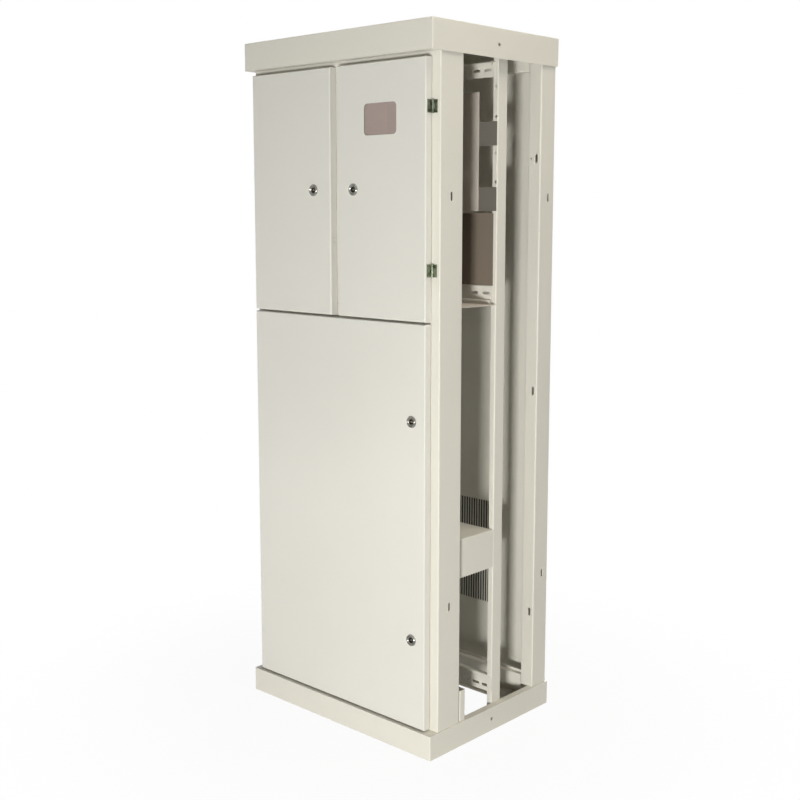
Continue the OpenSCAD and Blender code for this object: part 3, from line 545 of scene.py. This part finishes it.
# %% Model one lock housing and set it in the doors
HALF_SECTION = [
    (8.05, -14.0), (11.0, -14.0), (11.0, 0.0), (14.25, 0.0), (14.25, 0.9), (14.05, 1.8), (13.6, 2.5),
    (12.9, 3.05), (12.2, 3.2), (11.5, 2.95), (11.1, 2.4), (10.9, 1.8), (10.6, 1.6), (10.3, 1.9),
    (9.9, 2.35), (9.5, 2.45), (9.1, 2.2), (8.7, 1.6), (8.05, 1.2),
]
RING_R = max(radius for radius, out in HALF_SECTION) * MM
RING_OUT = max(out for radius, out in HALF_SECTION) * MM
SPIN_STEPS = 48


def turned_housing(section):
    """Draws a closed half section beside the z axis and spins it into a round piece."""
    clear_bench()
    bpy.ops.mesh.primitive_plane_add(size=1.0)
    piece = bpy.context.object
    open_up(piece)
    bpy.ops.mesh.select_all(action="SELECT")
    bpy.ops.mesh.merge(type="CENTER")
    bpy.ops.mesh.select_mode(type="VERT")
    bpy.ops.mesh.select_all(action="SELECT")
    at = Vector((0.0, 0.0, 0.0))
    for i, (radius, out) in enumerate(section + section[:1]):
        step = Vector((radius * MM, 0.0, out * MM)) - at
        if i == 0:
            bpy.ops.transform.translate(value=step)
        else:
            bpy.ops.mesh.extrude_region_move(TRANSFORM_OT_translate={"value": step})
        at += step
    bpy.ops.mesh.select_all(action="SELECT")
    bpy.ops.mesh.spin(steps=SPIN_STEPS, angle=math.radians(360), center=(0, 0, 0), axis=(0, 0, 1))
    bpy.ops.mesh.select_all(action="SELECT")
    bpy.ops.mesh.remove_doubles(threshold=0.01 * MM)
    bpy.ops.mesh.normals_make_consistent(inside=False)
    bpy.ops.object.mode_set(mode="OBJECT")
    return piece


housing = turned_housing(HALF_SECTION)
for door in ("top_left", "top_right", "bottom"):
    node = door + ("_lock_housings" if door == "bottom" else "_lock_housing")
    low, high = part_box(node)
    heights = sorted({round(low.z + RING_R, 5), round(high.z - RING_R, 5)})
    places = [((low.x + RING_R, low.y + RING_OUT, z), FACE_FRONT) for z in heights]
    rings = copies(housing, door + "_lock_rings", places)
    fit(rings, chrome, door + "_door")
    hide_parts(node)
bpy.data.objects.remove(housing)

# %% [markdown]
# ## Rear panel screws
# Ten pan-head screws hold the rear panel to the posts. The CAD screws are plain, so they are replaced by
# a head with a cross recess. A cylinder gets a rounded rim, and the cross is cut out by two slim bars
# with the Boolean modifier, which is then applied.

# %% Model the panel screws
SCREW_SIDES = 28
SCREWS_A_SIDE = 5
SCREW_TURN = 17
HEAD_R = 4.75 * MM
HEAD_H = 2.5 * MM


def cross_head_screw(radius, height, shank, length):
    """A pan head on the plane z = 0 with a cross recess, and a plain shank below it."""
    clear_bench()
    bpy.ops.mesh.primitive_cylinder_add(vertices=SCREW_SIDES, radius=radius, depth=height,
                                        location=(0, 0, height / 2))
    screw = bpy.context.object
    bpy.ops.object.transform_apply(location=True, rotation=True, scale=True)
    open_up(screw)
    choose_edges(screw, lambda p: p.z > 0.99 * height)
    bpy.ops.mesh.bevel(offset=0.75 * height, segments=5, affect="EDGES")
    choose_faces(screw, lambda c, n: n.z < -0.99)
    bpy.ops.mesh.inset(thickness=radius - shank, depth=0.0)
    bpy.ops.mesh.extrude_region_move(TRANSFORM_OT_translate={"value": (0.0, 0.0, -length)})
    bpy.ops.object.mode_set(mode="OBJECT")
    for turn in (0.0, math.radians(90)):
        clear_bench()
        bpy.ops.mesh.primitive_cube_add(size=1.0, location=(0, 0, height), rotation=(0, 0, turn))
        bar = bpy.context.object
        bar.scale = (1.1 * radius, 0.26 * radius, 1.2 * height)
        pick(screw)
        cut = screw.modifiers.new("recess", "BOOLEAN")
        cut.operation = "DIFFERENCE"
        cut.object = bar
        bpy.ops.object.modifier_apply(modifier=cut.name)
        bpy.data.objects.remove(bar)
    return screw


screws_low, screws_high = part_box("rear_panel_screws")
panel_screw = cross_head_screw(HEAD_R, HEAD_H, shank=2.5 * MM, length=10.0 * MM)
head_y = screws_high.y - HEAD_H
row_gap = (screws_high.z - screws_low.z - 2 * HEAD_R) / (SCREWS_A_SIDE - 1)
screw_places = [((x, head_y, screws_low.z + HEAD_R + i * row_gap),
                 (math.radians(-90), 0.0, math.radians(SCREW_TURN * i)))
                for x in (screws_low.x + HEAD_R, screws_high.x - HEAD_R) for i in range(SCREWS_A_SIDE)]
panel_screws = copies(panel_screw, "cross_head_panel_screws", screw_places)
fit(panel_screws, zinc, "cabinet")
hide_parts("rear_panel_screws")
bpy.data.objects.remove(panel_screw)

# %% [markdown]
# ## Rivets round the insect screen
# The wire cloth over the vents is riveted to the back of the panel along its border. The rivet is the
# same kind as on the hinges, only larger, so the same helper makes it. The rows are spaced evenly from
# corner to corner.

# %% Rivet the insect screen
screen_low, screen_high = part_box("vent_screen")
BORDER = 6.0 * MM
SPACES = 4
screen_rivet = button(radius=3.0 * MM, height=1.2 * MM, hole=1.1 * MM)
steps = [i / SPACES for i in range(SPACES + 1)]
left_x, right_x = screen_low.x + BORDER, screen_high.x - BORDER
foot_z, head_z = screen_low.z + BORDER, screen_high.z - BORDER
rows = [(left_x + (right_x - left_x) * t, z) for t in steps for z in (foot_z, head_z)]
sides = [(x, foot_z + (head_z - foot_z) * t) for t in steps[1:-1] for x in (left_x, right_x)]
rivet_places = [((x, screen_high.y, z), FACE_BACK) for x, z in rows + sides]
screen_rivets = copies(screen_rivet, "vent_screen_rivets", rivet_places)
fit(screen_rivets, zinc, "cabinet")
bpy.data.objects.remove(screen_rivet)

# %% [markdown]
# ## Floor and backdrop
# The picture is a cut-out on white. The floor is pale paint, of which the camera sees a trace near the
# cabinet, with its faint shadow. Further out the floor is plain white, so that no horizon shows.

# %% Lay the floor
FLOOR_RADIUS = 40.0
FLOOR_SIDES = 96
FLOOR_PAINT = (0.80, 0.80, 0.795, 1.0)
FADE_FROM = 0.3
FADE_TO = 1.2
NEAR_WHITE = 0.94


def seen_rays(tree):
    """One for camera, glossy and transmission rays, nought for the rest."""
    path = tree.nodes.new("ShaderNodeLightPath")
    first = tree.nodes.new("ShaderNodeMath")
    first.operation = "MAXIMUM"
    tree.links.new(path.outputs["Is Camera Ray"], first.inputs[0])
    tree.links.new(path.outputs["Is Glossy Ray"], first.inputs[1])
    both = tree.nodes.new("ShaderNodeMath")
    both.operation = "MAXIMUM"
    tree.links.new(first.outputs[0], both.inputs[0])
    tree.links.new(path.outputs["Is Transmission Ray"], both.inputs[1])
    return both.outputs[0]


def studio_floor():
    """A round floor whose paint gives way to plain white with the distance from the cabinet."""
    clear_bench()
    bpy.ops.mesh.primitive_circle_add(vertices=FLOOR_SIDES, radius=FLOOR_RADIUS, fill_type="NGON")
    floor = bpy.context.object
    floor.name = "studio_floor"
    finish = bpy.data.materials.new("pale_floor")
    finish.use_nodes = True
    tree = finish.node_tree
    tree.nodes.remove(tree.nodes["Principled BSDF"])
    paint = tree.nodes.new("ShaderNodeBsdfDiffuse")
    paint.inputs["Color"].default_value = FLOOR_PAINT
    white = tree.nodes.new("ShaderNodeEmission")
    place = tree.nodes.new("ShaderNodeTexCoord").outputs["Object"]
    reach = tree.nodes.new("ShaderNodeVectorMath")
    reach.operation = "LENGTH"
    tree.links.new(place, reach.inputs[0])
    fade = tree.nodes.new("ShaderNodeMapRange")
    fade.interpolation_type = "SMOOTHSTEP"
    fade.inputs["From Min"].default_value = FADE_FROM
    fade.inputs["From Max"].default_value = FADE_TO
    fade.inputs["To Min"].default_value = NEAR_WHITE
    tree.links.new(reach.outputs["Value"], fade.inputs["Value"])
    share = tree.nodes.new("ShaderNodeMath")
    share.operation = "MULTIPLY"
    tree.links.new(fade.outputs["Result"], share.inputs[0])
    tree.links.new(seen_rays(tree), share.inputs[1])
    blend = tree.nodes.new("ShaderNodeMixShader")
    tree.links.new(share.outputs[0], blend.inputs["Fac"])
    tree.links.new(paint.outputs["BSDF"], blend.inputs[1])
    tree.links.new(white.outputs["Emission"], blend.inputs[2])
    tree.links.new(blend.outputs["Shader"], tree.nodes["Material Output"].inputs["Surface"])
    dress(floor, finish)
    return floor


floor = studio_floor()
print("floor", floor.dimensions.x, "m across")

# %% [markdown]
# ## The world
# The world is white for the camera, for reflections and through the pane. For the light that it gives it
# is nearly dark, because that is the lamps' work.

# %% Colour the world
WORLD_LIGHT = 0.02
world = bpy.data.worlds.new("white_studio")
bpy.context.scene.world = world
world.use_nodes = True
sky = world.node_tree
ambient = sky.nodes["Background"]
ambient.inputs["Color"].default_value = (1.0, 0.985, 0.955, 1.0)
ambient.inputs["Strength"].default_value = WORLD_LIGHT
backdrop = sky.nodes.new("ShaderNodeBackground")
backdrop.inputs["Color"].default_value = (1.0, 1.0, 1.0, 1.0)
choice = sky.nodes.new("ShaderNodeMixShader")
sky.links.new(seen_rays(sky), choice.inputs["Fac"])
sky.links.new(ambient.outputs["Background"], choice.inputs[1])
sky.links.new(backdrop.outputs["Background"], choice.inputs[2])
sky.links.new(choice.outputs["Shader"], sky.nodes["World Output"].inputs["Surface"])
print("world light", ambient.inputs["Strength"].default_value)

# %% [markdown]
# ## Lamps
# Soft boxes give broad, even light. The strongest stands low at the right front: it lights the doors,
# more towards their feet, and reaches through the open side to the rear panel. It is small for its
# distance, so that the upright and the plates throw clear shadows inside. A long one close to the floor
# lifts the left foot of the cabinet. Two hang high on the right, for the posts, the roof and the flange
# on top of the plinth, and the one overhead is warm. The last stands behind, for whoever walks round the
# cabinet. Its beam is narrow, to keep it off the floor.

# %% Hang the soft boxes
def soft_box(name, stand, aim, size, watts, colour, beam=180.0):
    """A rectangular lamp on a stand, turned to its aim, with a beam of so many degrees."""
    clear_bench()
    way = Vector(aim) - Vector(stand)
    turn = way.to_track_quat("-Z", "Y").to_euler()
    bpy.ops.object.light_add(type="AREA", location=stand, rotation=turn)
    lamp = bpy.context.object
    lamp.name = name
    lamp.data.shape = "RECTANGLE"
    lamp.data.size, lamp.data.size_y = size
    lamp.data.energy = watts
    lamp.data.color = colour
    lamp.data.spread = math.radians(beam)
    print(name, watts, "W")


soft_box("low_soft_box", stand=(2.2, -3.4, 0.35), aim=(0.1, 0.0, 0.5),
         size=(0.5, 0.4), watts=121.0, colour=(1.0, 0.998, 0.965))
soft_box("near_soft_box", stand=(-1.0, -1.7, 0.15), aim=(-0.2, -0.2, 0.3),
         size=(1.2, 0.25), watts=4.4, colour=(1.0, 0.985, 0.94))
soft_box("high_soft_box", stand=(3.0, 0.0, 3.4), aim=(0.2, 0.0, 1.2),
         size=(1.4, 1.4), watts=10.0, colour=(1.0, 0.985, 0.94))
soft_box("top_soft_box", stand=(1.2, 0.2, 3.8), aim=(0.1, 0.0, 0.6),
         size=(1.2, 1.2), watts=46.0, colour=(1.0, 0.94, 0.82))
soft_box("back_soft_box", stand=(-1.7, 3.6, 1.4), aim=(0.0, 0.1, 0.95),
         size=(1.2, 1.2), watts=17.0, colour=(1.0, 0.99, 0.96), beam=70.0)
